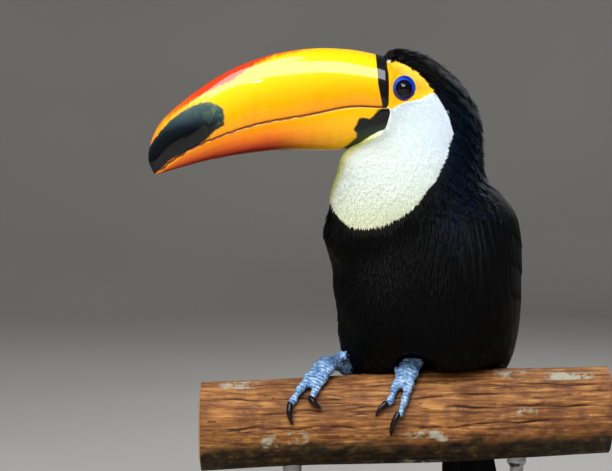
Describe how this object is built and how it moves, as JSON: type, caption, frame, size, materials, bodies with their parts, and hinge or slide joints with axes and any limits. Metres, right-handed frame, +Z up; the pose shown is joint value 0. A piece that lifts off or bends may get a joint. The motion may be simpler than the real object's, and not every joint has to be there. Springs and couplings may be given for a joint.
{
  "type": "toco toucan display model",
  "caption": "Life-size still model of a toco toucan gripping a cut length of branch, carried on two rods over a flat rectangular base.",
  "frame": {"origin": "centre of the stand base's underside", "axes": "+Z up; X along the branch, the bill pointing along -X; -Y towards the viewer, where the toes grip the front of the branch"},
  "size_m": [0.3589, 0.21, 0.467],
  "materials": {
    "plumage_black": "soft overlapping black feathers with a blue gloss",
    "plumage_white": "fine soft white feathers",
    "bill_yellow": "polished horn, yellow to orange, black at the tip and round the base",
    "bill_orange": "polished horn, orange to dark red, black patch at the base",
    "eye": "wet, very dark brown",
    "foot_skin": "scaly blue-grey skin",
    "claw_horn": "smooth black horn",
    "branch_wood": "weathered, barked off, with long cracks",
    "stand_wood": "satin walnut",
    "stand_steel": "brushed"
  },
  "bodies": {
    "root": {"head": "plumage_black", "neck": "plumage_white", "trunk": "plumage_black", "wing_left": "plumage_black", "wing_right": "plumage_black", "tail": "plumage_black", "thigh_left": "plumage_black", "thigh_right": "plumage_black", "bill_upper": "bill_yellow", "bill_lower": "bill_orange", "eye_left": "eye", "eye_right": "eye", "shank_left": "foot_skin", "shank_right": "foot_skin", "stand_base": "stand_wood", "stand_rod_left": "stand_steel", "stand_rod_right": "stand_steel", "stand_perch": "branch_wood", "toe_left_outer_front": "foot_skin", "toe_left_inner_front": "foot_skin", "toe_left_outer_rear": "foot_skin", "toe_left_inner_rear": "foot_skin", "toe_right_outer_front": "foot_skin", "toe_right_inner_front": "foot_skin", "toe_right_outer_rear": "foot_skin", "toe_right_inner_rear": "foot_skin", "claw_left_outer_front": "claw_horn", "claw_left_inner_front": "claw_horn", "claw_left_outer_rear": "claw_horn", "claw_left_inner_rear": "claw_horn", "claw_right_outer_front": "claw_horn", "claw_right_inner_front": "claw_horn", "claw_right_outer_rear": "claw_horn", "claw_right_inner_rear": "claw_horn"}
  },
  "joints": []
}
